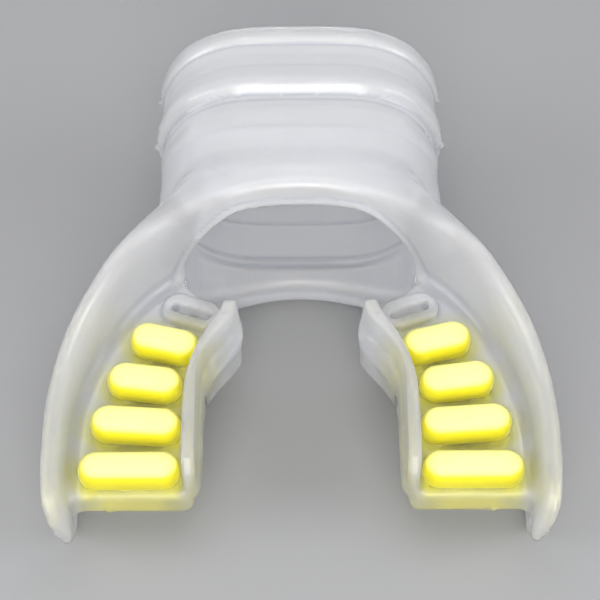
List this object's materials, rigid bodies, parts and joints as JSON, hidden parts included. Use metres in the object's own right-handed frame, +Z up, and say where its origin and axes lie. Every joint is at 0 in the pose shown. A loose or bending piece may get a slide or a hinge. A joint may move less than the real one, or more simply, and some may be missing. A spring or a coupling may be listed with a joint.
{
  "type": "regulator mouthpiece",
  "caption": "Clear soft mouthpiece with an oval socket, curved lip flange, two bite platforms, tongue walls and yellow bite pads.",
  "frame": {"origin": "bottom centre of the bounding box, on the surface the mouthpiece rests on", "axes": "+Y from the mouth end towards the regulator socket, +Z up, X across the dental arch. The socket's axis is tipped 8 degrees up from +Y, because the mouthpiece rests on its lower rim, at the flange and near the rear ends of the two wings."},
  "size_m": [0.0604, 0.0714, 0.029],
  "materials": {
    "translucent_silicone": "satin, milky translucent",
    "yellow_silicone": "satin, soft"
  },
  "bodies": {
    "root": {"mouthpiece_body": "translucent_silicone", "left_bite_pad_1": "yellow_silicone", "left_bite_pad_2": "yellow_silicone", "left_bite_pad_3": "yellow_silicone", "left_bite_pad_4": "yellow_silicone", "right_bite_pad_1": "yellow_silicone", "right_bite_pad_2": "yellow_silicone", "right_bite_pad_3": "yellow_silicone", "right_bite_pad_4": "yellow_silicone"}
  },
  "joints": []
}
